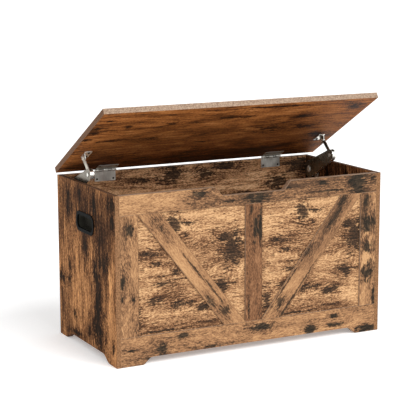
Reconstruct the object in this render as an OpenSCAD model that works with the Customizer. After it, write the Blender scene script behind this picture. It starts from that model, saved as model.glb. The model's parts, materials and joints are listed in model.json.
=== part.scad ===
// Lidded toy box in board panels: a framed front, a lift-up lid on two butt hinges,
// and two folding lid stays that follow the lid. Millimetres, +Z up, front towards -Y.
// The origin is on the floor, under the middle of the box. The lid is drawn part open.

/* [Box body] */
// Width over the outside of the side panels
body_w = 780; // [740:10:860]
// Depth from the front trim to the back panel
body_d = 380; // [370:5:420]
// Height of the side panels
body_h = 437; // [430:1:480]
// Thickness of the back, floor and lid boards
board_t = 15; // [15:0.5:16]
// Thickness of the side boards
side_board_t = 12; // [12:0.5:15]
// Thickness of the front board
front_board_t = 12; // [12:0.5:14]
// Height of the floor panel's underside above the ground
floor_z = 32; // [24:1:40]

/* [Front frame] */
// Thickness of the applied rails, stiles and braces
trim_t = 4; // [3:0.5:6]
// Height of the top rail
top_rail_h = 51; // [40:1:60]
// Height of the bottom rail, with its feet
bottom_rail_h = 75; // [60:1:90]
// Width of the three upright stiles
stile_w = 50; // [40:1:60]
// Width of the two slanted braces, square across their grain
brace_w = 50; // [40:1:56]
// Distance from the middle of the box to the top end of each brace
brace_top_x = 298; // [280:1:306]
// Distance from the middle of the box to the foot of each brace
brace_foot_x = 55; // [52:1:70]

/* [Feet and finger scoop] */
// Height of the cut-outs between the feet
foot_rise = 18; // [12:1:22]
// Width of each front foot
front_foot_w = 58; // [50:1:80]
// Run of the curve beside each front foot
front_curve_w = 29; // [16:1:40]
// Width of each foot of a side panel
side_foot_w = 46; // [30:1:60]
// Run of the curve beside each foot of a side panel
side_curve_w = 42; // [30:1:60]
// Width of the finger scoop at the front's top edge
scoop_top_w = 228; // [200:2:240]
// Width of the finger scoop along its bottom
scoop_bottom_w = 174; // [140:2:180]
// Depth of the finger scoop
scoop_depth = 24; // [16:1:26]

/* [Lid] */
// Width of the lid
lid_w = 800; // [760:10:880]
// How far the closed lid stands out in front of the box
lid_overhang = 20; // [10:1:30]
// Finger-safe gap between the closed lid and the box
closed_gap = 8; // [7:0.5:10]
// Opening angle at which the lid is drawn
lid_open = 30; // [0:1:75]

/* [Hinges] */
// Length of each hinge
hinge_len = 61; // [57:1:70]
// Distance from the middle of the box to the middle of each hinge
hinge_x = 258; // [220:1:280]
// Thickness of a hinge leaf
leaf_t = 1.3; // [1.1:0.1:1.4]
// Reach of a leaf from the hinge axis
leaf_reach = 30; // [28:0.5:32]
// Radius of the hinge pin
hinge_pin_r = 1.5; // [1.4:0.05:1.6]

/* [Lid stays] */
// Base pivot, forward of the hinge axis
stay_forward = 42; // [34:0.5:44]
// Base pivot, below the hinge axis
stay_drop = 37; // [36:0.5:40]
// Lid pivot, along the lid from the hinge axis
stay_reach = 122; // [118:1:130]
// Lid pivot, below the hinge axis when the lid is closed
stay_lid_drop = 8; // [8:0.5:10]
// Radius of the lower arm around its base pivot
arm_base_r = 23.5; // [21:0.5:24]
// Radius of the lower arm around its elbow
arm_elbow_r = 16; // [14:0.5:17]
// Half the width of the upper link
link_r = 6; // [5.5:0.25:7]

/* [Handle cups] */
// Length of the handle cup's flange
cup_w = 115; // [110:1:130]
// Height of the handle cup's flange
cup_h = 53; // [48:1:56]
// Height of the handle cups above the floor
cup_z = 338; // [300:1:345]

/* [Hidden] */
$fn = 48;
eps = 0.1;

// Box planes
inner_x = body_w / 2 - side_board_t;
front_y = -body_d / 2;
back_y = body_d / 2;
back_inner_y = back_y - board_t;
board_y = front_y + trim_t;
front_inner_y = board_y + front_board_t;
rail_low_z = body_h - top_rail_h;

// Bay between the centre stile and an outer one
bay_x = stile_w / 2;
bay_w = inner_x - stile_w - bay_x;

// Hinge axis, as far from the back panel's face as from the closed lid's underside
hinge_offset = 3.3;
axis_y = back_inner_y - hinge_offset;
axis_z = body_h + closed_gap - hinge_offset;
lid_depth = axis_y - front_y + lid_overhang;

// Curves: number of steps in each end curve of a cut-out
curve_steps = 12;

// Hinge details
barrel_r = 3.25;
knuckles = 5;
knuckle_gap = 0.3;
pin_play = 0.05;
pin_head_r = 2.6;
pin_head_t = 1.2;
leaf_hole_gap = 24;
leaf_hole_reach = 24;
leaf_corner_r = 2;

// Screws
csk_shank_r = 1.6;
csk_head_r = 2.9;
csk_len_back = 12;
csk_len_lid = 10;
pan_shank_r = 1.7;
pan_head_r = 3.4;
pan_head_t = 1.6;
pan_len = 9;
screw_play = 0.05;
plate_hole_r = 2;
recess_w = 0.8;
recess_len = 3;
recess_deep = 0.7;

// Lid stay layers, measured inwards from the side panel's inner face
stay_plate_t = 2;
stay_boss_end = 5.6;
stay_boss_r = 9;
stay_disc_t = 0.6;
stay_play = 0.05;
arm_t = 1.6;
arm_outer_s = 6.3;
arm_inner_s = 15.6;
elbow_wrap = 5;
link_t = 2.5;
link_s = 10.5;
ear_t = 2;
ear_s = 13.2;
ear_r = 7.5;
ear_root = 24;
washer_t = 2.4;
washer_r = 6;
pivot_r = 3;
elbow_play = 0.4;
rivet_head_r = 5;
rivet_head_t = 1.5;
rivet_play = 0.1;
base_rivet_head_r = 6;
base_plate_w = 50;
base_plate_h = 46;
base_plate_r = 8;
base_hole_y = 17;
base_hole_z = 15;
foot_w = 20;
foot_len = 38;
foot_hole_gap = 24;
foot_hole_s = 25;
foot_corner_r = 3;
stay_arm_len = norm([stay_reach, stay_lid_drop]);
stay_arm_dip = atan(stay_lid_drop / stay_reach);
base_y = axis_y - stay_forward;
base_z = axis_z - stay_drop;

// Lid pivot and elbow in the side view, with the lid at its drawn angle
lid_pivot = [
  axis_y - stay_reach * cos(lid_open) - stay_lid_drop * sin(lid_open),
  axis_z + stay_reach * sin(lid_open) - stay_lid_drop * cos(lid_open)
];
elbow = [lid_pivot.x - stay_forward, lid_pivot.y - stay_drop];

// Handle cup
cup_corner_r = 20;
cup_flange_t = 2.5;
cup_rim = 7.5;
cup_wall = 2;
cup_deep = 22;
cup_body_r = 14;
cup_play = 0.5;
lug_len = 14;
lug_t = 1.5;
lug_deep = 3;
lug_lift = 0.3;

// Knock-down fittings between the boards
cam_r = 7.5;
cam_set = 34;
cam_deep_front = 9.8;
cam_deep = 12.5;
cam_play = 0.05;
cam_tunnel_r = 3.4;
cam_slot_w = 1.6;
cam_slot_len = 9;
cam_slot_deep = 1.5;
bolt_r = 3;
bolt_bore_r = 3.55;
bolt_thread_r = 2.5;
bolt_thread_len = 9;
bolt_neck_r = 1.8;
bolt_neck_len = 4;
bolt_head_len = 2.5;
dowel_r = 4;
dowel_in_side = 8;
dowel_in_board = 20;
dowel_chamfer = 1;
upright_bolt_z = [110, 330];
upright_dowel_z = [65, 395];
floor_bolt_y = [-100, 100];
floor_dowel_y = [-150, 0, 150];

board_brown = "#8a5a33";
trim_brown = "#a06a3c";
steel = "#a8a8a6";
dark_steel = "#6d6c6a";
nylon = "#e4e0d6";
black_plastic = "#1b1c1d";
dowel_wood = "#d8b988";

// ---- placing helpers ----

// Left side parts are the right side's, mirrored
module on_side(side) mirror([side < 0 ? 1 : 0, 0, 0]) children();

module both_sides() for (side = [-1, 1]) on_side(side) children();

// The lid's own frame: origin on the hinge axis, lid closed, front towards -Y
module in_lid() translate([0, axis_y, axis_z]) rotate([-lid_open, 0, 0]) children();

// A plate drawn in the side view (Y, Z), from x0 to x0 + t
module side_plate(x0, t) translate([x0, 0, 0]) rotate([90, 0, 90]) linear_extrude(t) children();

// A plate in a stay's layer that starts s inside the right side panel
module stay_layer(s, t) side_plate(inner_x - s - t, t) children();

// A round bar along X in a stay's layers, from s0 to s1
module stay_bar(s0, s1, r) translate([inner_x - s1, 0, 0]) rotate([0, 90, 0]) cylinder(h = s1 - s0, r = r);

// A plate drawn in the front view (X, Z), from y0 back to y0 + t
module front_plate(y0, t) translate([0, y0 + t, 0]) rotate([90, 0, 0]) linear_extrude(t) children();

// A bar along X from x0 to x1
module x_bar(x0, x1, r) translate([x0, 0, 0]) rotate([0, 90, 0]) cylinder(h = x1 - x0, r = r);

// ---- outline helpers ----

// Soft S-curve from p to q, level at both ends
function s_curve(p, q) = [
  for (i = [0:curve_steps])
    let (t = i / curve_steps)
    [p.x + (q.x - p.x) * t, p.y + (q.y - p.y) * (1 - cos(180 * t)) / 2]
];

module rounded_rect(w, h, r) {
  square([w - 2 * r, h], center = true);
  square([w, h - 2 * r], center = true);
  for (x = [-1, 1], y = [-1, 1])
    translate([x * (w / 2 - r), y * (h / 2 - r)]) circle(r);
}

// Arm outline along -X: radius r1 at the origin, tapering to r2 at the far end
module tapered_outline(len, r1, r2) hull() {
  circle(r1);
  translate([-len, 0]) circle(r2);
}

// Bar outline along +X with round ends
module bar_outline(len, r) {
  circle(r);
  translate([len, 0]) circle(r);
  translate([0, -r]) square([len, 2 * r]);
}

module front_outline() {
  foot_x = inner_x - front_foot_w;
  polygon(concat(
    [[-inner_x, 0]],
    s_curve([-foot_x, 0], [-foot_x + front_curve_w, foot_rise]),
    s_curve([foot_x - front_curve_w, foot_rise], [foot_x, 0]),
    [[inner_x, 0], [inner_x, body_h]],
    s_curve([scoop_top_w / 2, body_h], [scoop_bottom_w / 2, body_h - scoop_depth]),
    s_curve([-scoop_bottom_w / 2, body_h - scoop_depth], [-scoop_top_w / 2, body_h]),
    [[-inner_x, body_h]]
  ));
}

module side_outline() {
  front_foot_y = front_y + side_foot_w;
  back_foot_y = back_y - side_foot_w;
  polygon(concat(
    [[front_y, 0]],
    s_curve([front_foot_y, 0], [front_foot_y + side_curve_w, foot_rise]),
    s_curve([back_foot_y - side_curve_w, foot_rise], [back_foot_y, 0]),
    [[back_y, 0], [back_y, body_h], [front_y, body_h]]
  ));
}

// ---- fittings that join the boards ----

front_mid_y = board_y + front_board_t / 2;
back_mid_y = back_y - board_t / 2;
floor_mid_z = floor_z + board_t / 2;
front_bolts = [for (z = upright_bolt_z) [front_mid_y, z]];
back_bolts = [for (z = upright_bolt_z) [back_mid_y, z]];
floor_bolts = [for (y = floor_bolt_y) [y, floor_mid_z]];
front_dowels = [for (z = upright_dowel_z) [front_mid_y, z]];
back_dowels = [for (z = upright_dowel_z) [back_mid_y, z]];
floor_dowels = [for (y = floor_dowel_y) [y, floor_mid_z]];
cam_x = inner_x - cam_set;

module at_each(points) for (p = points) translate([0, p.x, p.y]) children();

// Holes in a board's two ends for its bolts and dowels
module end_bores(bolts, dowels) both_sides() {
  at_each(bolts) x_bar(cam_x, inner_x + eps, bolt_bore_r);
  at_each(dowels) x_bar(inner_x - dowel_in_board - eps, inner_x + eps, dowel_r + cam_play);
}

module cam_hole(deep) translate([0, 0, -eps]) cylinder(h = deep + 2 * eps, r = cam_r + cam_play);

// A cam with its face at z = 0 and its body above it
module cam(deep, mid) difference() {
  cylinder(h = deep, r = cam_r);
  translate([-bolt_neck_len, 0, mid]) rotate([0, 90, 0]) cylinder(h = cam_r * 2, r = cam_tunnel_r);
  translate([-cam_slot_len / 2, -cam_slot_w / 2, -eps]) cube([cam_slot_len, cam_slot_w, cam_slot_deep]);
  translate([-cam_slot_w / 2, -cam_slot_len / 2, -eps]) cube([cam_slot_w, cam_slot_len, cam_slot_deep]);
}

module place_front_cams() both_sides() for (p = front_bolts)
  translate([cam_x, front_inner_y, p.y]) rotate([90, 0, 0]) children();

module place_back_cams() both_sides() for (p = back_bolts)
  translate([cam_x, back_inner_y, p.y]) rotate([-90, 0, 0]) children();

module place_floor_cams() both_sides() for (p = floor_bolts)
  translate([cam_x, p.x, floor_z]) children();

// ---- boards of the box ----

module side_panel(side) color(board_brown) on_side(side) difference() {
  side_plate(inner_x, side_board_t) side_outline();
  at_each(concat(front_bolts, back_bolts, floor_bolts))
    x_bar(inner_x - eps, inner_x + bolt_thread_len + eps, bolt_thread_r + cam_play);
  at_each(concat(front_dowels, back_dowels, floor_dowels))
    x_bar(inner_x - eps, inner_x + dowel_in_side + eps, dowel_r + cam_play);
  place_base_screws() x_bar(inner_x - eps, inner_x + pan_len + eps, pan_shank_r + screw_play);
  translate([0, 0, cup_z]) side_plate(inner_x - eps, side_board_t + 2 * eps)
    rounded_rect(cup_w - 2 * cup_rim + 2 * cup_play, cup_h - 2 * cup_rim + 2 * cup_play, cup_body_r + cup_play);
}

module front_panel() color(board_brown) difference() {
  front_plate(board_y, front_board_t) front_outline();
  end_bores(front_bolts, front_dowels);
  place_front_cams() cam_hole(cam_deep_front);
}

module back_panel() color(board_brown) difference() {
  translate([-inner_x, back_inner_y, foot_rise]) cube([2 * inner_x, board_t, body_h - foot_rise]);
  end_bores(back_bolts, back_dowels);
  place_back_cams() cam_hole(cam_deep);
  place_box_leaf_screws() screw_bore(csk_len_back);
}

module floor_panel() color(board_brown) difference() {
  translate([-inner_x, front_inner_y, floor_z]) cube([2 * inner_x, back_inner_y - front_inner_y, board_t]);
  end_bores(floor_bolts, floor_dowels);
  place_floor_cams() cam_hole(cam_deep);
}

module lid_panel() color(board_brown) in_lid() difference() {
  translate([-lid_w / 2, -lid_depth, hinge_offset]) cube([lid_w, lid_depth, board_t]);
  place_lid_leaf_screws() screw_bore(csk_len_lid);
  place_lid_bracket_screws() pan_bore();
}

// ---- applied frame on the front ----

module rail(z0, z1) color(trim_brown) front_plate(front_y, trim_t) intersection() {
  front_outline();
  translate([-inner_x, z0]) square([2 * inner_x, z1 - z0]);
}

module stile(x) color(trim_brown) front_plate(front_y, trim_t)
  translate([x - stile_w / 2, bottom_rail_h]) square([stile_w, rail_low_z - bottom_rail_h]);

module brace(side) color(trim_brown) on_side(side) {
  slant = atan2(rail_low_z - bottom_rail_h, brace_top_x - brace_foot_x);
  half = brace_w / sin(slant) / 2;
  front_plate(front_y, trim_t) intersection() {
    polygon([
      [brace_foot_x - half, bottom_rail_h],
      [brace_foot_x + half, bottom_rail_h],
      [brace_top_x + half, rail_low_z],
      [brace_top_x - half, rail_low_z]
    ]);
    translate([bay_x, bottom_rail_h]) square([bay_w, rail_low_z - bottom_rail_h]);
  }
}

// ---- butt hinges ----

knuckle_len = hinge_len / knuckles;

function knuckle_start(i) = -hinge_len / 2 + i * knuckle_len;

// Countersunk screw holes of one leaf, in the leaf's frame
module place_leaf_holes() for (x = [-leaf_hole_gap, leaf_hole_gap])
  translate([x, -leaf_hole_reach, barrel_r - leaf_t]) children();

// Leaf lying along -Y with its outer face at z = barrel_r, and every second knuckle from first
module hinge_leaf(first) difference() {
  union() {
    difference() {
      translate([0, 0, barrel_r - leaf_t]) linear_extrude(leaf_t) leaf_outline();
      for (i = [1 - first:2:knuckles - 1])
        translate([knuckle_start(i) - knuckle_gap, -barrel_r - knuckle_gap, -barrel_r])
          cube([knuckle_len + 2 * knuckle_gap, 2 * barrel_r, 2 * barrel_r + eps]);
    }
    for (i = [first:2:knuckles - 1])
      x_bar(knuckle_start(i) + knuckle_gap / 2, knuckle_start(i + 1) - knuckle_gap / 2, barrel_r);
  }
  x_bar(-hinge_len / 2 - eps, hinge_len / 2 + eps, hinge_pin_r + pin_play);
  place_leaf_holes() csk_hole();
}

module leaf_outline() {
  translate([-hinge_len / 2, -leaf_reach + leaf_corner_r])
    square([hinge_len, leaf_reach - leaf_corner_r]);
  translate([-hinge_len / 2 + leaf_corner_r, -leaf_reach])
    square([hinge_len - 2 * leaf_corner_r, leaf_corner_r]);
  for (x = [-1, 1])
    translate([x * (hinge_len / 2 - leaf_corner_r), -leaf_reach + leaf_corner_r]) circle(leaf_corner_r);
}

module csk_hole() {
  translate([0, 0, -eps]) cylinder(h = leaf_t + 2 * eps, r = csk_shank_r + screw_play);
  cylinder(h = leaf_t, r1 = csk_head_r + screw_play, r2 = csk_shank_r + screw_play);
}

// Countersunk screw, head at z = 0 and shank upwards
module csk_screw(len) difference() {
  union() {
    cylinder(h = leaf_t, r1 = csk_head_r, r2 = csk_shank_r);
    cylinder(h = len, r = csk_shank_r);
  }
  screw_recess();
}

module screw_recess() {
  translate([-recess_len / 2, -recess_w / 2, -eps]) cube([recess_len, recess_w, recess_deep + eps]);
  translate([-recess_w / 2, -recess_len / 2, -eps]) cube([recess_w, recess_len, recess_deep + eps]);
}

module screw_bore(len) cylinder(h = len + eps, r = csk_shank_r + screw_play);

// The box leaf stands in a vertical plane: the leaf frame turned a quarter about the hinge axis
module in_box_leaf() translate([0, axis_y, axis_z]) rotate([90, 0, 0]) mirror([0, 0, 1]) children();

module at_hinges() for (side = [-1, 1]) translate([side * hinge_x, 0, 0]) children();

module place_box_leaf_screws() at_hinges() in_box_leaf() place_leaf_holes() children();

module place_lid_leaf_screws() at_hinges() place_leaf_holes() children();

module hinge_box_leaf(side) color(steel) translate([side * hinge_x, 0, 0]) in_box_leaf() hinge_leaf(0);

module hinge_lid_leaf(side) color(steel) in_lid() translate([side * hinge_x, 0, 0]) hinge_leaf(1);

module hinge_pin(side) color(steel) translate([side * hinge_x, axis_y, axis_z]) {
  x_bar(-hinge_len / 2 - pin_head_t, hinge_len / 2 + pin_head_t, hinge_pin_r);
  for (end = [-1, 1])
    translate([end * (hinge_len / 2 + pin_head_t / 2), 0, 0])
      x_bar(-pin_head_t / 2, pin_head_t / 2, pin_head_r);
}

module hinge_box_screws() color(dark_steel) place_box_leaf_screws() csk_screw(csk_len_back);

module hinge_lid_screws() color(dark_steel) in_lid() place_lid_leaf_screws() csk_screw(csk_len_lid);

// ---- lid stays ----

// Pan head screw, shank upwards, head hanging below z = 0
module pan_screw() difference() {
  union() {
    translate([0, 0, -pan_head_t]) cylinder(h = pan_head_t, r = pan_head_r);
    cylinder(h = pan_len + stay_plate_t - eps, r = pan_shank_r);
  }
  translate([0, 0, -pan_head_t]) screw_recess();
}

module pan_bore() cylinder(h = pan_len + stay_plate_t + eps, r = pan_shank_r + screw_play);

// Screw places of the two base plates, in the side view
module place_base_screws() for (dy = [-1, 1], dz = [-1, 1])
  translate([0, base_y + dy * base_hole_y, base_z + dz * base_hole_z]) children();

// Screw places of the two lid brackets, in the lid's frame, at the bracket's lower face
module place_lid_bracket_screws() both_sides() for (dy = [-1, 1])
  translate([inner_x - foot_hole_s, -stay_reach + dy * foot_hole_gap / 2, hinge_offset - stay_plate_t])
    children();

module in_base() translate([0, base_y, base_z]) children();

module in_arm() in_base() rotate([stay_arm_dip - lid_open, 0, 0]) children();

module ring(s0, s1, outer_r, inner_r) difference() {
  stay_bar(s0, s1, outer_r);
  stay_bar(s0 - eps, s1 + eps, inner_r);
}

module stay_base(side) color(steel) on_side(side) difference() {
  union() {
    in_base() stay_layer(0, stay_plate_t) rounded_rect(base_plate_w, base_plate_h, base_plate_r);
    in_base() stay_bar(stay_plate_t, stay_boss_end, stay_boss_r);
  }
  in_base() stay_bar(-eps, stay_boss_end + eps, pivot_r + stay_play);
  place_base_screws() stay_bar(-eps, stay_plate_t + eps, plate_hole_r);
}

// Folded channel: two side flanges, and a web along the edge away from the lid and round the elbow
module stay_lower_arm(side) color(dark_steel) on_side(side) in_arm() difference() {
  union() {
    for (s = [arm_outer_s, arm_inner_s])
      stay_layer(s, arm_t) tapered_outline(stay_arm_len, arm_base_r, arm_elbow_r);
    stay_layer(arm_outer_s, arm_inner_s + arm_t - arm_outer_s) intersection() {
      difference() {
        tapered_outline(stay_arm_len, arm_base_r, arm_elbow_r);
        tapered_outline(stay_arm_len, arm_base_r - arm_t, arm_elbow_r - arm_t);
      }
      union() {
        translate([-stay_arm_len, -arm_base_r - eps]) square([stay_arm_len, arm_base_r + eps]);
        translate([-stay_arm_len - arm_base_r, -arm_base_r - eps])
          square([arm_base_r, arm_base_r + eps + elbow_wrap]);
      }
    }
  }
  stay_bar(arm_outer_s - eps, arm_inner_s + arm_t + eps, pivot_r + stay_play);
  translate([0, -stay_arm_len, 0]) stay_bar(arm_outer_s - eps, arm_inner_s + arm_t + eps, pivot_r + stay_play);
}

module stay_upper_link(side) color(steel) on_side(side) difference() {
  stay_layer(link_s, link_t) translate(elbow) rotate(atan2(stay_drop, stay_forward))
    bar_outline(norm([stay_forward, stay_drop]), link_r);
  translate([0, elbow.x, elbow.y]) stay_bar(link_s - eps, link_s + link_t + eps, pivot_r + elbow_play);
  translate([0, lid_pivot.x, lid_pivot.y]) stay_bar(link_s - eps, link_s + link_t + eps, pivot_r + stay_play);
}

module stay_lid_bracket(side) color(steel) in_lid() on_side(side) difference() {
  union() {
    stay_layer(ear_s, ear_t) {
      translate([-stay_reach, -stay_lid_drop]) circle(ear_r);
      translate([-stay_reach, 0]) polygon([
        [-ear_root / 2, hinge_offset], [-ear_r, -stay_lid_drop], [ear_r, -stay_lid_drop], [ear_root / 2, hinge_offset]
      ]);
    }
    translate([inner_x - ear_s - foot_w / 2, -stay_reach, hinge_offset - stay_plate_t])
      linear_extrude(stay_plate_t) rounded_rect(foot_w, foot_len, foot_corner_r);
  }
  translate([0, -stay_reach, -stay_lid_drop]) stay_bar(ear_s - eps, ear_s + ear_t + eps, pivot_r + stay_play);
  translate([inner_x - foot_hole_s, -stay_reach, hinge_offset - stay_plate_t - eps])
    for (dy = [-1, 1]) translate([0, dy * foot_hole_gap / 2, 0])
      cylinder(h = stay_plate_t + 2 * eps, r = plate_hole_r);
}

module rivet(s0, s1, head_r) {
  stay_bar(s0, s1, pivot_r);
  stay_bar(s1, s1 + rivet_head_t, head_r);
}

inner_disc_s = arm_inner_s + arm_t + stay_play;
outer_disc_s = arm_outer_s - stay_play - stay_disc_t;

module stay_base_rivet(side) color(steel) on_side(side) in_base()
  rivet(0, inner_disc_s + stay_disc_t + stay_play, base_rivet_head_r);

module stay_friction_discs(side) color(nylon) on_side(side) in_base()
  for (s = [outer_disc_s, inner_disc_s])
    ring(s, s + stay_disc_t, stay_boss_r, pivot_r + stay_play);

module stay_elbow_rivet(side) color(steel) on_side(side) translate([0, elbow.x, elbow.y]) {
  rivet(arm_outer_s - rivet_play, arm_inner_s + arm_t + rivet_play, rivet_head_r);
  stay_bar(arm_outer_s - rivet_play - rivet_head_t, arm_outer_s - rivet_play, rivet_head_r);
}

module stay_elbow_washers(side) color(nylon) on_side(side) translate([0, elbow.x, elbow.y])
  for (s = [arm_outer_s + arm_t + stay_play, arm_inner_s - stay_play - washer_t])
    ring(s, s + washer_t, washer_r, pivot_r + stay_play);

module stay_lid_rivet(side) color(steel) on_side(side) translate([0, lid_pivot.x, lid_pivot.y]) {
  rivet(link_s - rivet_play, ear_s + ear_t + rivet_play, rivet_head_r);
  stay_bar(link_s - rivet_play - rivet_head_t, link_s - rivet_play, rivet_head_r);
}

module stay_base_screws() color(steel) both_sides() place_base_screws()
  translate([inner_x - stay_plate_t, 0, 0]) rotate([0, 90, 0]) pan_screw();

module stay_lid_screws() color(steel) in_lid() place_lid_bracket_screws() pan_screw();

// ---- handle cups ----

module handle_cup(side) color(black_plastic) on_side(side) translate([body_w / 2, 0, cup_z]) {
  pocket_w = cup_w - 2 * cup_rim;
  pocket_h = cup_h - 2 * cup_rim;
  difference() {
    union() {
      side_plate(0, cup_flange_t) rounded_rect(cup_w, cup_h, cup_corner_r);
      side_plate(-cup_deep, cup_deep) rounded_rect(pocket_w, pocket_h, cup_body_r);
      for (up = [-1, 1])
        translate([-side_board_t - lug_deep - lug_lift, -lug_len / 2, up * (pocket_h / 2) - lug_t])
          cube([lug_deep, lug_len, 2 * lug_t]);
    }
    side_plate(cup_wall - cup_deep, cup_deep + cup_flange_t)
      rounded_rect(pocket_w - 2 * cup_wall, pocket_h - 2 * cup_wall, cup_body_r - cup_wall);
  }
}

// ---- fittings ----

module cam_locks() color(dark_steel) {
  place_front_cams() cam(cam_deep_front, front_board_t / 2);
  place_back_cams() cam(cam_deep, board_t / 2);
  place_floor_cams() cam(cam_deep, board_t / 2);
}

module cam_bolts() color(steel) both_sides() at_each(concat(front_bolts, back_bolts, floor_bolts)) {
  x_bar(cam_x, cam_x + bolt_head_len, bolt_r);
  x_bar(cam_x, cam_x + cam_r, bolt_neck_r);
  x_bar(cam_x + bolt_head_len + bolt_neck_len, inner_x, bolt_r);
  x_bar(inner_x, inner_x + bolt_thread_len, bolt_thread_r);
}

module wooden_dowels() color(dowel_wood) both_sides() at_each(concat(front_dowels, back_dowels, floor_dowels)) {
  low = inner_x - dowel_in_board;
  high = inner_x + dowel_in_side;
  x_bar(low + dowel_chamfer, high - dowel_chamfer, dowel_r);
  translate([low, 0, 0]) rotate([0, 90, 0])
    cylinder(h = dowel_chamfer, r1 = dowel_r - dowel_chamfer, r2 = dowel_r);
  translate([high - dowel_chamfer, 0, 0]) rotate([0, 90, 0])
    cylinder(h = dowel_chamfer, r1 = dowel_r, r2 = dowel_r - dowel_chamfer);
}

side_panel(-1);  // left_side_panel
side_panel(1);  // right_side_panel
front_panel();
back_panel();
floor_panel();
rail(rail_low_z, body_h);  // top_rail
rail(0, bottom_rail_h);  // bottom_rail
stile(stile_w / 2 - inner_x);  // left_stile
stile(0);  // centre_stile
stile(inner_x - stile_w / 2);  // right_stile
brace(-1);  // left_brace
brace(1);  // right_brace
lid_panel();
hinge_box_leaf(-1);  // left_hinge_box_leaf
hinge_box_leaf(1);  // right_hinge_box_leaf
hinge_lid_leaf(-1);  // left_hinge_lid_leaf
hinge_lid_leaf(1);  // right_hinge_lid_leaf
hinge_pin(-1);  // left_hinge_pin
hinge_pin(1);  // right_hinge_pin
hinge_box_screws();
hinge_lid_screws();
handle_cup(-1);  // left_handle_cup
handle_cup(1);  // right_handle_cup
stay_base(-1);  // left_stay_base
stay_base(1);  // right_stay_base
stay_lower_arm(-1);  // left_stay_lower_arm
stay_lower_arm(1);  // right_stay_lower_arm
stay_upper_link(-1);  // left_stay_upper_link
stay_upper_link(1);  // right_stay_upper_link
stay_lid_bracket(-1);  // left_stay_lid_bracket
stay_lid_bracket(1);  // right_stay_lid_bracket
stay_base_rivet(-1);  // left_stay_base_rivet
stay_base_rivet(1);  // right_stay_base_rivet
stay_elbow_rivet(-1);  // left_stay_elbow_rivet
stay_elbow_rivet(1);  // right_stay_elbow_rivet
stay_lid_rivet(-1);  // left_stay_lid_rivet
stay_lid_rivet(1);  // right_stay_lid_rivet
stay_elbow_washers(-1);  // left_stay_elbow_washers
stay_elbow_washers(1);  // right_stay_elbow_washers
stay_friction_discs(-1);  // left_stay_friction_discs
stay_friction_discs(1);  // right_stay_friction_discs
stay_base_screws();
stay_lid_screws();
cam_locks();
cam_bolts();
wooden_dowels();
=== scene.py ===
"""Looks for a lidded toy box: rustic brown laminate boards, zinc plated hinges and stays, black
handle cups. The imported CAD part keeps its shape; this script gives every node its material and
rounds its edges, and adds the floor, the lights and the camera."""

import json
import math

import bpy
from mathutils import Matrix, Vector


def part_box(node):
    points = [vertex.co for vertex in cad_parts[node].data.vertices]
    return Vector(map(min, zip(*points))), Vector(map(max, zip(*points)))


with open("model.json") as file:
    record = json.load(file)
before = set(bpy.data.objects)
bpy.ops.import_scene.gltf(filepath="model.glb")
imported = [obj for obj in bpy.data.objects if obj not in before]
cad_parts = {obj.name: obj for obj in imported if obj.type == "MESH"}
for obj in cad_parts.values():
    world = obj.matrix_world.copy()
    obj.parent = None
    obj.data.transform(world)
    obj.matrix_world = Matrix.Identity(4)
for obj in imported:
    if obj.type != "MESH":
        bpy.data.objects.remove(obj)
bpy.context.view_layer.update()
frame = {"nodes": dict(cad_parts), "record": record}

NODES = frame["nodes"]
JOINTS = {j["name"]: j for j in frame["record"]["behaviour"]["joints"]}
SIDES = ("left_", "right_")
X, Y, Z = Vector((1, 0, 0)), Vector((0, 1, 0)), Vector((0, 0, 1))
MM = 0.001


def srgb(r, g, b):
    """Linear colour from 8-bit display values."""

    def lin(c):
        c /= 255
        return c / 12.92 if c <= 0.04045 else ((c + 0.055) / 1.055) ** 2.4

    return (lin(r), lin(g), lin(b), 1.0)


def dim(colour, k):
    """The same colour, k times as bright."""
    return tuple(c * k for c in colour[:3]) + (1.0,)


# ---- material graphs ----


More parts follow.
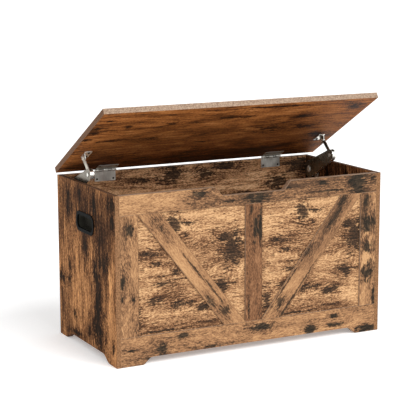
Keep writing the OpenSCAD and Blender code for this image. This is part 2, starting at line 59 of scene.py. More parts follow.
class Graph:
    """A material's node tree, with one call for each kind of node that it needs."""

    def __init__(self, name):
        self.material = bpy.data.materials.new(name)
        self.material.use_nodes = True
        self.tree = self.material.node_tree
        self.shader = self.tree.nodes["Principled BSDF"]
        self.coord = self.add("ShaderNodeTexCoord")

    def add(self, kind, **props):
        node = self.tree.nodes.new(kind)
        for key, value in props.items():
            setattr(node, key, value)
        return node

    def plug(self, socket, value):
        if isinstance(value, bpy.types.NodeSocket):
            self.tree.links.new(value, socket)
        else:
            socket.default_value = value

    def math(self, op, a, b=0.0, c=0.0):
        node = self.add("ShaderNodeMath", operation=op)
        for socket, value in zip(node.inputs, (a, b, c)):
            self.plug(socket, value)
        return node.outputs[0]

    def vector(self, op, a, b):
        node = self.add("ShaderNodeVectorMath", operation=op)
        self.plug(node.inputs[0], a)
        self.plug(node.inputs[1], b)
        return node.outputs["Value" if op == "DOT_PRODUCT" else "Vector"]

    def normal_along(self, axis):
        """How far the surface looks along an axis, from -1 to 1."""
        return self.vector("DOT_PRODUCT", self.coord.outputs["Normal"], axis)

    def length(self, a):
        node = self.add("ShaderNodeVectorMath", operation="LENGTH")
        self.plug(node.inputs[0], a)
        return node.outputs["Value"]

    def combine(self, x, y, z):
        node = self.add("ShaderNodeCombineXYZ")
        for socket, value in zip(node.inputs, (x, y, z)):
            self.plug(socket, value)
        return node.outputs[0]

    def noise(self, where, stretch, detail=3.0, rough=0.55, colour=False):
        """Noise with about stretch cycles a metre along each axis of where."""
        node = self.add("ShaderNodeTexNoise")
        self.plug(node.inputs["Vector"], self.vector("MULTIPLY", where, stretch))
        node.inputs["Scale"].default_value = 1.0
        node.inputs["Detail"].default_value = detail
        node.inputs["Roughness"].default_value = rough
        return node.outputs["Color" if colour else "Fac"]

    def step(self, value, low, high, out_low=0.0, out_high=1.0):
        """Smooth step from out_low to out_high while value goes from low to high."""
        node = self.add("ShaderNodeMapRange", interpolation_type="SMOOTHSTEP")
        for socket, given in zip(node.inputs, (value, low, high, out_low, out_high)):
            self.plug(socket, given)
        return node.outputs[0]

    def ramp(self, value, stops):
        """Colour ramp through (position, colour) stops."""
        node = self.add("ShaderNodeValToRGB")
        marks = node.color_ramp.elements
        while len(marks) < len(stops):
            marks.new(0.5)
        for mark, (place, colour) in zip(marks, stops):
            mark.position = place
            mark.color = colour
        self.plug(node.inputs[0], value)
        return node.outputs["Color"]

    def mix(self, amount, a, b, blend="MIX"):
        node = self.add("ShaderNodeMix", data_type="RGBA", blend_type=blend)
        self.plug(node.inputs["Factor"], amount)
        self.plug(node.inputs[6], a)
        self.plug(node.inputs[7], b)
        return node.outputs[2]

    def surface(self, colour, rough, height=None, bump_mm=0.1, shine=0.5):
        """Connects the shader: base colour, roughness, and a bump of bump_mm from height."""
        self.plug(self.shader.inputs["Base Color"], colour)
        self.plug(self.shader.inputs["Roughness"], rough)
        self.shader.inputs["Specular IOR Level"].default_value = shine
        if height is not None:
            bump = self.add("ShaderNodeBump")
            bump.inputs["Strength"].default_value = 1.0
            bump.inputs["Distance"].default_value = bump_mm * MM
            self.plug(bump.inputs["Height"], height)
            self.plug(self.shader.inputs["Normal"], bump.outputs[0])
        return self.material


# ---- laminate ----

LEVELS = (0.0, 0.25, 0.5, 0.75, 1.0)  # places of a look's five tones, from dark to pale
BAND_STOPS = (0.38, 0.64)  # places of an edge band's two colours


def spread(g, noise, gain):
    """Noise about 0 with the given gain."""
    return g.math("MULTIPLY", g.math("SUBTRACT", noise, 0.5), gain)


def reach(g, at, spot):
    """Distance of at from a spot's middle, where 1 is the spot's edge."""
    u, v, half_u, half_v = (value * MM for value in spot[:4])
    scale = (1 / half_u, 1 / half_v, 0.0)
    middle = (-u / half_u, -v / half_v, 0.0)
    node = g.add("ShaderNodeVectorMath", operation="MULTIPLY_ADD")
    for socket, value in zip(node.inputs, (at, scale, middle)):
        g.plug(socket, value)
    return g.length(node.outputs["Vector"])


def laminate(
    name, along, across, look, marks=(), zones=(), origin=Vector(), repeat=0.0, seed=0.0, half=None
):
    """Printed woodgrain laminate. along and across are the grain's directions on the board. marks are
    dark spots and zones are broad paler or darker areas, both as (place along, place across, half
    length, half height, strength or lift) in millimetres from origin. repeat is the length after
    which the print starts again, and half is half a strip's width, whose long edges are darker."""
    g = Graph(name)
    through = along.cross(across)
    place = g.vector("SUBTRACT", g.coord.outputs["Object"], origin)
    u = g.vector("DOT_PRODUCT", place, along)
    v = g.vector("DOT_PRODUCT", place, across)
    w = g.vector("DOT_PRODUCT", place, through)
    if repeat:
        u = g.math("WRAP", u, repeat / 2, -repeat / 2)
        w = 0.0
    board = g.combine(u, v, g.math("ADD", w, seed))

    # The grain wanders a little across the board
    wander = g.noise(board, (4.0, 9.0, 9.0), 2.0, colour=True)
    drift = g.vector("MULTIPLY", g.vector("SUBTRACT", wander, (0.5, 0.5, 0.5)), (0.03, 0.05, 0.0))
    flow = g.vector("ADD", board, drift)
    tone = g.noise(flow, look["tone_size"], 4.0, 0.6)
    streak = g.noise(flow, look["streak_size"], 5.0, 0.75)
    fibre = g.noise(flow, (150.0, 430.0, 300.0), 3.0, 0.7)
    lump = g.noise(board, (45.0, 60.0, 50.0), 4.0, 0.6)
    squiggle = g.noise(flow, look["squiggle_size"], 4.0, 0.7)
    tone_gain, streak_gain, fibre_gain = look["gains"]

    # Broad paler and darker areas
    level = g.math("ADD", spread(g, tone, tone_gain), 0.5 + look["lift"])
    tug = g.noise(board, (14.0, 28.0, 20.0), 4.0, 0.65, colour=True)
    tug = g.vector("MULTIPLY", g.vector("SUBTRACT", tug, (0.5, 0.5, 0.5)), (0.16, 0.09, 0.0))
    tugged = g.vector("ADD", g.combine(u, v, 0.0), tug)
    for zone in zones:
        level = g.math("ADD", level, g.step(reach(g, tugged, zone), 0.4, 1.4, zone[4], 0.0))

    # Grain of two sizes
    level = g.math("ADD", level, spread(g, streak, streak_gain))
    level = g.math("ADD", level, spread(g, fibre, fibre_gain))

    # Dark marks and knots with ragged edges, each in a brown halo
    ink = None
    if marks:
        far = None
        at = g.combine(u, v, 0.0)
        for mark in marks:
            one = g.math("ADD", reach(g, at, mark), 1.0 - mark[4])
            far = one if far is None else g.math("MINIMUM", far, one)
        for rag, gain in zip((streak, fibre, lump), look["rag"]):
            far = g.math("ADD", far, spread(g, rag, gain))
        level = g.math("ADD", level, g.step(far, 0.8, 2.3, -look["halo"], 0.0))
        ink = g.step(far, 0.60, 1.25, look["mark"], 0.0)

    colour = g.ramp(level, list(zip(LEVELS, look["tones"])))
    if "far_tones" in look:
        near = g.step(g.normal_along(through), -0.5, 0.5)
        colour = g.mix(near, g.ramp(level, list(zip(LEVELS, look["far_tones"]))), colour)

    # Small dark squiggles, denser where the board is dark
    bar = g.math("ADD", g.math("MULTIPLY", level, 0.10), look["squiggle_from"] - 0.05)
    scribble = g.step(g.math("SUBTRACT", squiggle, bar), 0.0, 0.035, 0.0, look["squiggle"])
    colour = g.mix(scribble, colour, look["ink"])
    if ink:
        stroke = g.math("ADD", g.math("MULTIPLY", streak, 0.7), g.math("MULTIPLY", fibre, 0.3))
        inks = g.ramp(stroke, [(0.46, look["mark_colour"]), (0.60, look["mark_pale"])])
        colour = g.mix(ink, colour, inks)

    # Dark line where the foil turns over a strip's long edges
    if half:
        line = g.step(g.math("ABSOLUTE", v), half - 1.8 * MM, half - 0.6 * MM)
        colour = g.mix(g.math("MULTIPLY", line, 0.6), colour, look["tones"][0])

    # Edge band on the faces that aren't the board's two sides
    facing = g.math("ABSOLUTE", g.normal_along(through))
    edge = g.step(facing, 0.6, 0.4)
    band = g.noise(board, (240.0, 420.0, 420.0), 3.0, 0.7)
    banding = g.ramp(band, list(zip(BAND_STOPS, look["band"])))
    # Painted shade: the faces that end the grain take a darker copy of the band
    if "shaded_end_band" in look:
        end = g.step(g.math("ABSOLUTE", g.normal_along(along)), 0.6, 0.8)
        banding = g.mix(end, banding, g.ramp(band, list(zip(BAND_STOPS, look["shaded_end_band"]))))
    colour = g.mix(edge, colour, banding)

    # The rounded corners take a painted highlight, in patches that the lump noise breaks up
    turned = g.math("MULTIPLY", g.step(facing, 0.05, 0.3), g.step(facing, 0.98, 0.88))
    painted_corner_mask = g.math("MULTIPLY", turned, g.step(lump, 0.3, 0.55, 0.2, 0.9))
    colour = g.mix(painted_corner_mask, colour, look["corner_painted_light"])

    rough = g.step(level, 0.0, 1.0, look["rough"] - 0.06, look["rough"] + 0.08)
    height = g.math("ADD", g.math("MULTIPLY", streak, 0.6), g.math("MULTIPLY", fibre, 0.4))
    return g.surface(colour, rough, height, bump_mm=0.15, shine=look["shine"])


def shades(*colours):
    """Linear colours from 8-bit display values."""
    return [srgb(*c) for c in colours]


# A look's tones run from dark to pale. The sizes are cycles a metre along, across and through the
# grain, and gains and rag are the strengths of the noises that shape the grain and the dark marks.

INFILL = {
    "tones": shades((70, 46, 30), (112, 78, 53), (157, 116, 81), (190, 148, 106), (213, 171, 125)),
    "tone_size": (9.0, 34.0, 30.0),
    "streak_size": (36.0, 200.0, 80.0),
    "gains": (1.5, 2.0, 2.4),
    "lift": 0.0,
    "squiggle_size": (34.0, 210.0, 60.0),
    "squiggle_from": 0.575,
    "squiggle": 0.72,
    "ink": srgb(56, 38, 25),
    "mark": 0.90,
    "halo": 0.24,
    "rag": (2.8, 2.2, 3.2),
    "mark_colour": srgb(35, 29, 23),
    "mark_pale": srgb(86, 61, 43),
    "corner_painted_light": srgb(196, 172, 150),
    "band": shades((112, 88, 70), (158, 128, 104)),
    "rough": 0.52,
    "shine": 0.10,
}
STRIP = dict(
    INFILL,
    tones=shades((76, 56, 41), (122, 88, 62), (155, 115, 80), (176, 134, 94), (194, 151, 107)),
    tone_size=(5.0, 22.0, 22.0),
    streak_size=(26.0, 240.0, 80.0),
    gains=(1.1, 1.4, 2.2),
    squiggle_size=(60.0, 260.0, 80.0),
    squiggle=0.5,
    squiggle_from=0.61,
    rag=(1.5, 1.2, 2.6),
    mark=0.94,
    mark_colour=srgb(28, 26, 21),
    mark_pale=srgb(66, 54, 41),
    corner_painted_light=srgb(188, 156, 128),
    band=shades((126, 102, 84), (176, 150, 128)),
)
CENTRE = dict(
    STRIP, tones=shades((60, 42, 30), (96, 66, 45), (122, 84, 57), (139, 99, 69), (160, 117, 82))
)
BRACE = dict(
    STRIP,
    gains=(0.9, 0.8, 1.5),
    rag=(2.4, 1.8, 2.6),
    squiggle=0.25,
    mark=0.8,
    corner_painted_light=srgb(150, 112, 78),
)
SIDE = dict(
    INFILL,
    tones=shades((38, 24, 14), (74, 47, 29), (124, 83, 53), (183, 130, 85), (220, 160, 105)),
    tone_size=(7.0, 30.0, 30.0),
    streak_size=(20.0, 170.0, 80.0),
    gains=(1.2, 1.6, 1.6),
    squiggle=0.6,
    ink=srgb(40, 28, 20),
    mark_colour=srgb(23, 18, 13),
    mark_pale=srgb(58, 41, 27),
    corner_painted_light=srgb(206, 178, 150),
    band=shades((104, 74, 52), (158, 118, 84)),
    shaded_end_band=shades((66, 46, 35), (112, 82, 62)),
    shine=0.01,
)
# Inside faces of back and floor: tones paler than the outer faces, painted light inside the box
INSIDE_WITH_PAINTED_LIGHT = dict(
    INFILL,
    tones=shades((80, 56, 38), (136, 96, 66), (200, 148, 105), (230, 180, 133), (247, 206, 161)),
    tone_size=(5.0, 26.0, 26.0),
    streak_size=(14.0, 240.0, 80.0),
    far_tones=shades((58, 40, 28), (94, 66, 46), (142, 103, 72), (180, 137, 97), (206, 162, 117)),
    gains=(1.3, 2.2, 2.0),
    squiggle=0.6,
    ink=srgb(46, 30, 22),
    band=shades((112, 88, 70), (158, 128, 104)),
)
LID = dict(
    INFILL,
    tones=shades((58, 30, 12), (98, 56, 26), (142, 85, 42), (168, 106, 55), (196, 134, 80)),
    far_tones=INFILL["tones"],
    tone_size=(7.0, 26.0, 26.0),
    streak_size=(14.0, 130.0, 80.0),
    gains=(1.4, 1.9, 1.6),
    squiggle_size=(26.0, 130.0, 60.0),
    squiggle_from=0.58,
    squiggle=0.6,
    ink=srgb(44, 22, 10),
    mark_colour=srgb(26, 15, 8),
    mark_pale=srgb(70, 39, 18),
    band=shades((128, 104, 86), (180, 156, 134)),
    shaded_end_band=shades((84, 56, 38), (134, 100, 76)),
    rough=0.6,
    shine=0.08,
)


def centre(node):
    """The middle of a node's box."""
    low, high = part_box(node)
    return (low + high) / 2


# Marks and zones are (along, across, half length, half height, strength or lift) in millimetres from
# the board's middle; those of the infill start from the middle of each print of its pattern.

INFILL_MARKS = [
    (-40, 121, 15, 21, 1.2),
    (-2, 120, 24, 8, 0.8),
    (-5, 90, 6, 4, 0.8),
    (-102, 53, 30, 10, 0.7),
    (-87, 24, 30, 6, 0.7),
    (120, 77, 32, 16, 1.0),
    (127, 34, 25, 29, 1.2),
    (-35, 3, 12, 10, 1.0),
    (94, -50, 28, 17, 0.9),
    (-75, -28, 30, 8, 0.7),
    (-22, -86, 30, 9, 0.9),
    (52, -100, 28, 12, 0.95),
    (-95, -70, 22, 8, 0.85),
    (-147, -105, 16, 30, 0.8),
    (-80, -149, 60, 3, 0.8),
    (60, -140, 40, 3, 0.6),
    (-20, -20, 40, 2, 0.7),
    (-60, -8, 50, 2, 0.7),
]
INFILL_ZONES = [
    (30, 132, 150, 30, 0.22),
    (-140, 110, 40, 30, 0.15),
    (20, 50, 170, 40, -0.10),
    (-122, -34, 46, 24, 0.20),
    (40, -30, 90, 18, 0.10),
    (-50, -50, 44, 20, -0.16),
    (120, -112, 46, 26, 0.34),
    (-40, -118, 70, 18, 0.12),
    (-20, -138, 160, 26, -0.18),
]


def infill():
    """The front panel's print, which starts again on the other side of the centre stile."""
    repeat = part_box("right_side_panel")[0].x - 3 * MM
    origin = Vector((repeat / 2, 0, centre("left_stile").z))
    return laminate("infill laminate", X, Z, INFILL, INFILL_MARKS, INFILL_ZONES, origin, repeat)


SIDE_MARKS = [
    (-80, -74, 112, 17, 1.0),
    (-8, -62, 36, 16, 1.0),
    (-160, -74, 44, 32, 0.95),
    (34, -112, 24, 34, 0.9),
    (190, -168, 13, 22, 1.0),
    (150, -172, 18, 10, 0.9),
    (172, -56, 16, 10, 0.95),
    (190, 40, 18, 7, 0.85),
    (152, 114, 30, 18, 0.75),
    (-53, 168, 13, 24, 0.9),
    (-53, 118, 18, 12, 0.7),
    (-137, 83, 13, 9, 0.95),
    (-167, -14, 15, 8, 0.95),
    (-169, -169, 13, 7, 0.95),
    (-190, 80, 8, 34, 0.8),
    (52, 6, 22, 16, 0.7),
    (-105, -112, 20, 12, 0.6),
    (-10, 112, 24, 8, 0.6),
]
SIDE_ZONES = [
    (150, -40, 80, 170, -0.20),
    (98, -100, 62, 60, -0.14),
    (150, 120, 60, 60, -0.08),
    (30, 62, 50, 40, 0.16),
    (-95, 55, 90, 85, 0.16),
    (-70, -172, 130, 24, 0.24),
    (-60, -130, 70, 22, -0.06),
    (-130, 170, 50, 22, -0.10),
]


def side_board(name, side):
    """A side panel, with its grain upright; side is -1 at the left and 1 at the right."""
    return laminate(
        name + " laminate", Z, Y * -side, SIDE, SIDE_MARKS, SIDE_ZONES, centre(name), seed=side
    )


def strip(name, along, across, look, marks, zones=(), half=None):
    """A board whose marks and zones are laid out from its own middle."""
    return laminate(name + " laminate", along, across, look, marks, zones, centre(name), half=half)


def half_width(name, across):
    """Half of a node's size along an axis."""
    low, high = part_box(name)
    return abs((high - low).dot(across)) / 2


def rails_and_stiles():
    """The applied frame: each strip's grain runs along it."""
    top = [
        (-157, 12, 24, 10, 0.9),
        (15, -11, 28, 12, 1.2),
        (316, 4, 22, 28, 1.2),
        (232, -11, 50, 3, 0.8),
        (205, 12, 18, 10, 0.6),
        (-80, -14, 40, 4, 0.6),
        (366, 14, 14, 12, 0.7),
        (110, 8, 40, 5, 0.5),
    ]
    top_zones = [(-320, 0, 110, 60, 0.16), (150, 0, 300, 90, -0.34), (-150, 10, 60, 20, -0.12)]
    low = [
        (22, 18, 32, 9, 1.1),
        (-262, -5, 14, 12, 1.1),
        (175, -8, 18, 12, 1.15),
        (250, -5, 26, 5, 1.05),
        (245, 20, 18, 8, 0.85),
        (-205, 25, 24, 7, 0.85),
        (358, -29, 32, 10, 1.15),
        (-110, -14, 44, 3, 0.7),
        (-300, -24, 30, 4, 0.7),
        (-352, 4, 22, 4, 0.6),
    ]
    low_zones = [
        (130, 4, 110, 40, 0.04),
        (212, -16, 14, 12, 0.30),
        (-330, -8, 90, 60, -0.14),
        (-190, 14, 110, 24, -0.12),
        (-40, -24, 160, 16, -0.18),
        (330, 6, 60, 26, -0.10),
    ]
    left = [
        (120, 0, 15, 12, 1.0),
        (-10, 19, 20, 8, 1.0),
        (-56, -9, 10, 8, 0.7),
        (-52, 21, 12, 4, 0.8),
    ]
    left_zones = [(0, 0, 260, 40, -0.10)]
    middle = [
        (95, -20, 46, 7, 1.15),
        (87, -5, 34, 7, 1.1),
        (140, 8, 20, 5, 0.6),
        (-120, 14, 40, 4, 0.6),
    ]
    right = [
        (70, 0, 24, 25, 0.95),
        (128, 8, 26, 13, 0.75),
        (7, -1, 17, 22, 0.9),
        (-63, 0, 34, 20, 0.8),
        (-130, -20, 50, 5, 0.8),
    ]
    right_zones = [
        (60, 0, 120, 40, -0.2),
        (-120, 8, 60, 16, 0.1),
        (38, 4, 16, 18, 0.75),
        (-22, 2, 20, 20, 0.85),
    ]
    for name, along, across, look, marks, zones in (
        ("top_rail", X, Z, STRIP, top, top_zones),
        ("bottom_rail", X, Z, STRIP, low, low_zones),
        ("left_stile", Z, X * -1, STRIP, left, left_zones),
        ("centre_stile", Z, X * -1, CENTRE, middle, ()),
        ("right_stile", Z, X * -1, STRIP, right, right_zones),
    ):
        paint(name, strip(name, along, across, look, marks, zones, half_width(name, across)))


def braces():
    """Each brace's grain runs up its slope."""
    marks = {
        "left_brace": [
            (-98, -16, 20, 8, 1.0),
            (-148, 0, 20, 14, 0.85),
            (-5, 5, 46, 2.4, 1.05),
            (-80, 9, 46, 2.4, 1.05),
            (150, 0, 60, 14, 0.3),
        ],
        "right_brace": [
            (170, 12, 26, 8, 1.0),
            (118, 4, 34, 7, 0.95),
            (2, 21, 18, 9, 0.95),
            (-152, 6, 24, 12, 0.9),
            (-110, 20, 74, 2.2, 0.95),
            (-115, -19, 76, 2.6, 1.05),
        ],
    }
    zones = {
        "left_brace": [(40, 0, 90, 36, 0.16), (150, 0, 50, 30, -0.12)],
        "right_brace": [(80, 0, 130, 36, -0.26), (-90, 0, 56, 30, 0.12)],
    }
    half = 25 * MM  # half of a brace's width
    sine = 0.788  # of a brace's slope
    clipped = 3.6 * MM  # what its two corners lose, measured level
    for name, side in (("left_brace", -1), ("right_brace", 1)):
        low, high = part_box(name)
        run = high.x - low.x + clipped - 2 * half / sine
        slant = math.atan2(high.z - low.z, run)
        up = Vector((side * math.cos(slant), 0, math.sin(slant)))
        out = Vector((-up.z * side, 0, up.x * side))
        paint(name, strip(name, up, out, BRACE, marks[name], zones[name], half))


def lid_board():
    """The lid's print follows the lid, so it is laid out from the hinge axis in the lid's own plane."""
    hinge = JOINTS["lid_hinge"]
    axis = Vector(hinge["pos_m"])
    ajar = math.radians(-hinge["range_deg"][0])  # the closing travel is the angle at which the lid rests
    forward = Vector((0, -math.cos(ajar), math.sin(ajar)))
    marks = [
        (-366, 333, 8, 6, 1.0),
        (-300, 290, 8, 7, 0.95),
        (-385, 272, 24, 14, 1.0),
        (-185, 292, 16, 14, 0.75),
        (-100, 289, 22, 5, 0.9),
        (-22, 307, 26, 8, 1.0),
        (34, 302, 22, 6, 0.9),
        (220, 282, 22, 12, 0.95),
        (145, 212, 38, 20, 0.95),
        (260, 214, 28, 12, 0.95),
        (-390, 219, 14, 7, 0.9),
        (-203, 197, 16, 6, 0.8),
        (-315, 200, 46, 6, 0.85),
        (80, 362, 130, 6, 0.7),
        (-30, 150, 30, 6, 0.6),
        (330, 150, 20, 14, 0.7),
        (350, 340, 26, 20, 0.6),
    ]
    zones = [
        (130, 62, 260, 30, -0.34),
        (0, 16, 440, 30, -0.34),
        (-150, 150, 240, 60, 0.06),
        (-330, 60, 90, 50, -0.16),
        (60, 180, 60, 30, 0.10),
        (180, 330, 140, 26, 0.08),
        (-180, 340, 160, 24, -0.06),
    ]
    return laminate("lid_panel laminate", X, forward, LID, marks, zones, axis)


# ---- metal, plastic and plain wood ----


def brushed(
    name, colour, rough, lines, grime=0.25, metallic=1.0, flat=None, edge=None, reverse=None
):
    """Plated steel with fine rolling lines along one axis, and a little grime. Where a face turns
    away from the flat axis, it takes the edge colour, a painted highlight. A face that looks
    against the flat axis takes the reverse colour, if there is one, as painted shade."""
    g = Graph(name)
    where = g.coord.outputs["Object"]
    line = g.noise(where, lines, 3.0, 0.6)
    cloud = g.noise(where, (60.0, 60.0, 60.0), 4.0, 0.6)
    both = g.math("ADD", g.math("MULTIPLY", line, 0.6), g.math("MULTIPLY", cloud, 0.4))
    base = g.ramp(both, [(0.36, dim(colour, 1 - grime)), (0.6, dim(colour, 1.1))])
    # Painted shade on the faces that look against the flat axis
    if reverse:
        base = g.mix(g.step(g.normal_along(flat), -0.9, -0.5), reverse, base)
    # Painted highlight on the faces that turn away from the flat axis
    if edge:
        facing = g.math("ABSOLUTE", g.normal_along(flat))
        base = g.mix(g.step(facing, 0.985, 0.85), base, edge)
    g.shader.inputs["Metallic"].default_value = metallic
    return g.surface(base, g.step(cloud, 0.35, 0.65, rough * 0.8, rough * 1.25), line, bump_mm=0.02)


def moulded(name, colour, rough, shine=0.5, ior=1.45, pocket_painted_light=None):
    """Moulded plastic with a faint orange-peel surface. pocket is a paler colour for what lies more
    than 3 mm inside the side boards' outer faces, a painted reflection in the hollow of the handle cups."""
    g = Graph(name)
    where = g.coord.outputs["Object"]
    peel = g.noise(where, (420.0, 420.0, 420.0), 2.0, 0.5)
    cloud = g.noise(where, (30.0, 30.0, 30.0), 3.0, 0.5)
    base = g.ramp(cloud, [(0.35, dim(colour, 0.85)), (0.65, dim(colour, 1.15))])
    # Painted reflection: deep in the cups the black plastic is paler
    if pocket_painted_light:
        away = g.math("ABSOLUTE", g.vector("DOT_PRODUCT", where, X))
        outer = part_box("right_side_panel")[1].x
        base = g.mix(g.step(away, outer - 3 * MM, outer - 1 * MM), pocket_painted_light, base)
    g.shader.inputs["IOR"].default_value = ior
    return g.surface(
        base, g.step(cloud, 0.35, 0.65, rough * 0.85, rough * 1.2), peel, bump_mm=0.02, shine=shine
    )


def beech(name):
    """Plain turned beech, with its grain along X."""
    g = Graph(name)
    where = g.coord.outputs["Object"]
    grain = g.noise(where, (25.0, 500.0, 500.0), 4.0, 0.6)
    base = g.ramp(grain, [(0.35, srgb(176, 138, 92)), (0.65, srgb(222, 190, 142))])
    return g.surface(base, g.step(grain, 0.3, 0.7, 0.5, 0.65), grain, bump_mm=0.05)


def paint(name, material):
    """Gives a CAD node one material."""
    mesh = NODES[name].data
    mesh.materials.clear()
    mesh.materials.append(material)


def soften(name, width_mm, join_flat=False):
    """Welds a CAD node's split edges and rounds them, without changing its own mesh. join_flat first
    joins the flat triangles of a pressed part, because its slivers would be rounded too."""
    weld = NODES[name].modifiers.new("weld", "WELD")
    weld.merge_threshold = 1e-6
    if join_flat:
        join = NODES[name].modifiers.new("join flat faces", "DECIMATE")
        join.decimate_type = "DISSOLVE"
        join.angle_limit = math.radians(0.5)
    bevel = NODES[name].modifiers.new("round", "BEVEL")
    bevel.width = width_mm * MM
    bevel.segments = 2
    bevel.limit_method = "ANGLE"
    bevel.angle_limit = math.radians(35)
    bevel.harden_normals = True


BOARD_ROUNDING = 0.5  # millimetres
ROUNDED = [  # pressed and moulded parts of each side, with their rounding in millimetres
    ("handle_cup", 0.9),
    ("hinge_box_leaf", 0.25),
    ("hinge_lid_leaf", 0.25),
    ("stay_base", 0.3),
    ("stay_lower_arm", 0.4),
    ("stay_upper_link", 0.4),
    ("stay_lid_bracket", 0.3),
]


def boards():
    """Gives every laminate board its print."""
    paint("front_panel", infill())
    for name, side in (("left_side_panel", -1), ("right_side_panel", 1)):
        paint(name, side_board(name, side))
    back = [
        (-58, 186, 40, 20, 1.0),
        (42, 184, 32, 16, 1.0),
        (122, 200, 36, 12, 1.0),
        (352, 184, 34, 28, 1.0),
        (282, 140, 36, 20, 1.0),
        (-150, 176, 30, 8, 0.8),
        (-210, 60, 44, 20, 1.0),
        (-140, 84, 20, 8, 0.9),
        (60, 70, 24, 9, 0.8),
        (150, -40, 54, 22, 1.0),
        (215, -10, 30, 9, 0.9),
        (-30, -30, 26, 14, 0.9),
        (-300, -110, 40, 18, 1.0),
        (-240, -140, 18, 8, 0.8),
        (30, -150, 64, 12, 0.9),
        (320, -120, 22, 24, 0.95),
        (-340, 130, 16, 26, 0.9),
        (200, 96, 12, 10, 1.0),
        # Painted shadow: this thin dark line lies just above the scoop of the front panel
        (195, 115, 105, 4, 0.85),
    ]
    back_zones_and_painted_light = [
        (-120, 0, 160, 60, -0.16),
        (240, 40, 120, 50, 0.16),
        (60, -110, 200, 40, -0.12),
        (-260, 130, 120, 40, 0.12),
        # Painted light: this paler band lies above the painted shadow behind the scoop
        (190, 146, 90, 16, 0.20),
    ]
    base = [(-100, 50, 80, 20, 0.8), (200, -80, 60, 20, 0.9), (20, -60, 40, 12, 0.7)]
    paint("back_panel", strip("back_panel", X, Z, INSIDE_WITH_PAINTED_LIGHT, back, back_zones_and_painted_light))
    paint("floor_panel", strip("floor_panel", X, Y, INSIDE_WITH_PAINTED_LIGHT, base))
    paint("lid_panel", lid_board())
    rails_and_stiles()
    braces()


def hardware():
    """Everything that isn't board: a finish for each of the record's slots, then the hinge leaves,
    links and brackets, painted with light and shade."""
    # Painted highlight colour for the edges and bends of the leaves, arms, links and brackets
    painted_highlight = srgb(250, 249, 242)
    hinge_lines = (900.0, 60.0, 60.0)  # rolling lines, fine along X on the hinges
    stay_lines = (60.0, 900.0, 60.0)  # and along Y on the stays
    zinc = brushed("zinc plate", srgb(246, 245, 237), 0.36, hinge_lines, 0.15, 0.75)
    # Painted shade: the lid leaves are a darker copy of the zinc plate
    shaded = brushed("zinc plate with painted shade", srgb(192, 189, 181), 0.40, hinge_lines, 0.35, 0.75)
    # The box leaves get a painted highlight on their edges and knuckles
    plate = brushed("leaf steel with painted highlight", srgb(240, 239, 230), 0.36, hinge_lines, 0.15, 0.75, Y, painted_highlight)
    # Painted light on the stay arms: a dark base for their dark reflections, painted highlights on webs
    # and edges
    arm = brushed("pressed steel with painted light", srgb(128, 120, 106), 0.26, stay_lines, 0.5, 0.85, X, painted_highlight)
    screw = brushed("blackened steel", srgb(84, 80, 76), 0.42, (300.0, 300.0, 300.0), 0.5)
    cast = brushed("zinc casting", srgb(150, 150, 152), 0.5, (200.0, 200.0, 200.0), 0.35)
    white = moulded("white nylon", srgb(226, 222, 212), 0.45)
    black = moulded("black plastic", srgb(11, 12, 11), 0.26, 0.05, 1.2, srgb(54, 52, 46))
    wood = beech("beech dowel")
    finish = {
        "steel": zinc,
        "arm_steel": arm,
        "screw_steel": screw,
        "cam_metal": cast,
        "nylon": white,
        "black_plastic": black,
        "dowel_wood": wood,
    }
    for part in frame["record"]["subparts"]:
        if part["material_slot"] in finish:
            paint(part["node"], finish[part["material_slot"]])
    # Painted light on the links and brackets: pale outward faces, painted shade inward, painted
    # highlights on edges
    link_lit_side, link_shaded_side = srgb(206, 202, 188), srgb(104, 98, 84)
    for side, outward in zip(SIDES, (X * -1, X)):
        paint(side + "hinge_lid_leaf", shaded)
        paint(side + "hinge_box_leaf", plate)
        name = side + "link steel with painted light"
        link = brushed(name, link_lit_side, 0.32, stay_lines, 0.3, 0.8, outward, painted_highlight, link_shaded_side)
        paint(side + "stay_upper_link", link)
        paint(side + "stay_lid_bracket", link)


# ---- setting ----


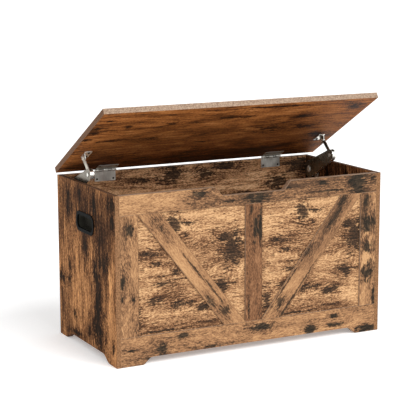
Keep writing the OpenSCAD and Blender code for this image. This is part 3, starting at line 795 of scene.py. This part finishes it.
def floor():
    """A wide white floor that glows a little, so that it reads as the photo's white ground."""
    bpy.ops.mesh.primitive_circle_add(vertices=96, radius=40, fill_type="NGON", location=(0, 0, 0))
    disc = bpy.context.object
    disc.name = "studio_floor"
    g = Graph("studio floor")
    speck = g.noise(g.coord.outputs["Object"], (3.0, 3.0, 3.0), 3.0)
    white = g.ramp(speck, [(0.3, (0.93, 0.93, 0.93, 1)), (0.7, (0.95, 0.95, 0.95, 1))])
    g.shader.inputs["Emission Color"].default_value = (1.0, 1.0, 1.0, 1.0)
    g.shader.inputs["Emission Strength"].default_value = 0.28
    disc.data.materials.append(g.surface(white, 0.9))


def sun(name, towards, strength, angle):
    """A sun shining along towards; angle, in degrees, is how soft it is."""
    lamp = bpy.data.lights.new(name, "SUN")
    lamp.energy = strength
    lamp.angle = math.radians(angle)
    holder = bpy.data.objects.new(name, lamp)
    bpy.context.collection.objects.link(holder)
    holder.rotation_mode = "QUATERNION"
    holder.rotation_quaternion = Vector(towards).to_track_quat("-Z", "Y")


def light():
    """White surroundings, a key light from the front right and a weak fill from the front left."""
    world = bpy.data.worlds.new("studio")
    bpy.context.scene.world = world
    world.use_nodes = True
    tree = world.node_tree
    back = tree.nodes["Background"]
    back.inputs["Color"].default_value = (1.0, 1.0, 1.0, 1.0)
    back.inputs["Strength"].default_value = 0.55
    sun("key", (-0.30, 0.80, -0.75), 2.3, 40)
    sun("fill", (0.75, 0.45, -0.60), 0.5, 60)
    bpy.context.scene.view_settings.view_transform = "Standard"


CAMERA_PLACE = (-1.7389, -3.2776, 1.0370)
CAMERA_AHEAD = (0.45345, 0.8721, -0.18393)
CAMERA_RIGHT = (0.88704, -0.46168, -0.00219)
CAMERA_LENS = 121.3  # millimetres, on a sensor 36 mm wide


def camera():
    """Long lens, from the box's front left and a little above its lid."""
    lens = bpy.data.cameras.new("camera")
    lens.sensor_width = 36
    lens.lens = CAMERA_LENS
    lens.clip_end = 200
    holder = bpy.data.objects.new("camera", lens)
    bpy.context.collection.objects.link(holder)
    ahead = Vector(CAMERA_AHEAD).normalized()
    right = Vector(CAMERA_RIGHT).normalized()
    up = right.cross(ahead)
    turn = Matrix((right, up, -ahead)).transposed()
    holder.matrix_world = Matrix.Translation(CAMERA_PLACE) @ turn.to_4x4()
    bpy.context.scene.camera = holder


boards()
hardware()
for part in frame["record"]["subparts"]:
    if part["material_slot"] in ("board", "trim"):
        soften(part["node"], BOARD_ROUNDING)
for side in SIDES:
    for name, width_mm in ROUNDED:
        soften(side + name, width_mm, join_flat=True)
floor()
light()
camera()
